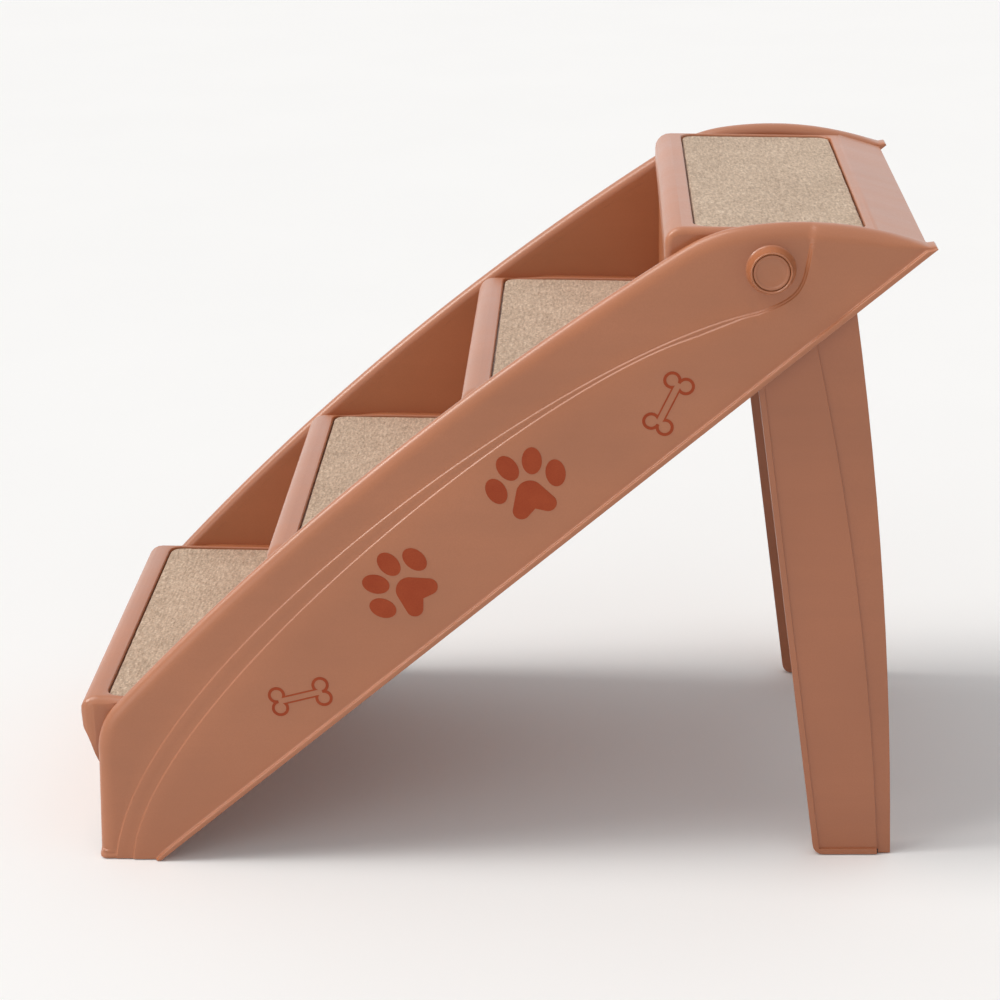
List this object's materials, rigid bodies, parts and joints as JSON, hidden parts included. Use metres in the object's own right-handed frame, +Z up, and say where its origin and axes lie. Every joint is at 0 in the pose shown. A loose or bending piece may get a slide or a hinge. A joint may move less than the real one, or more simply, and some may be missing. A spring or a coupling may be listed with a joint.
{
  "type": "folding pet stairs",
  "caption": "Folding pet stairs with carpeted treads between two curved side rails, folding rear legs and push-button hinges.",
  "frame": {"origin": "on the floor, below the middle of the whole part's box", "axes": "+Z up, +X from the lowest step to the platform, +Y to the left when climbing"},
  "size_m": [0.634, 0.3912, 0.491],
  "materials": {
    "shell": "satin",
    "dark_shell": "satin",
    "carpet": "matte",
    "print": "matte",
    "steel": "satin",
    "rubber": "matte"
  },
  "bodies": {
    "stairs": {"right_rail": "shell", "left_rail": "shell", "right_liner": "shell", "left_liner": "shell", "step_1": "shell", "step_2": "shell", "step_3": "shell", "platform": "shell", "mat_1": "carpet", "mat_2": "carpet", "mat_3": "carpet", "mat_4": "carpet", "right_print": "print", "left_print": "print", "right_hub": "shell", "left_hub": "shell", "right_hub_nut": "dark_shell", "left_hub_nut": "dark_shell", "right_spring": "steel", "left_spring": "steel", "right_step_screws": "steel", "left_step_screws": "steel", "right_front_foot": "rubber", "left_front_foot": "rubber"},
    "leg_frame": {"right_leg": "dark_shell", "left_leg": "dark_shell", "right_stop_pin": "steel", "left_stop_pin": "steel", "cross_bar": "dark_shell", "right_leg_foot": "rubber", "left_leg_foot": "rubber"},
    "right_lock": {"right_button": "shell", "right_plunger": "steel", "right_clip": "steel"},
    "left_lock": {"left_button": "shell", "left_plunger": "steel", "left_clip": "steel"}
  },
  "joints": [
    {"name": "leg_fold", "type": "hinge", "parent": "stairs", "child": "leg_frame", "pos_m": [0.201, 0, 0.4585], "axis": [0, 1, 0], "range_deg": [0, 57.7]},
    {"name": "right_press", "type": "slide", "parent": "stairs", "child": "right_lock", "axis": [0, 1, 0], "range_m": [0, 0.005], "stiffness_N_per_m": 300, "springref_m": -0.01, "deforming": ["right_spring"]},
    {"name": "left_press", "type": "slide", "parent": "stairs", "child": "left_lock", "axis": [0, -1, 0], "range_m": [0, 0.005], "stiffness_N_per_m": 300, "springref_m": -0.01, "deforming": ["left_spring"]}
  ]
}
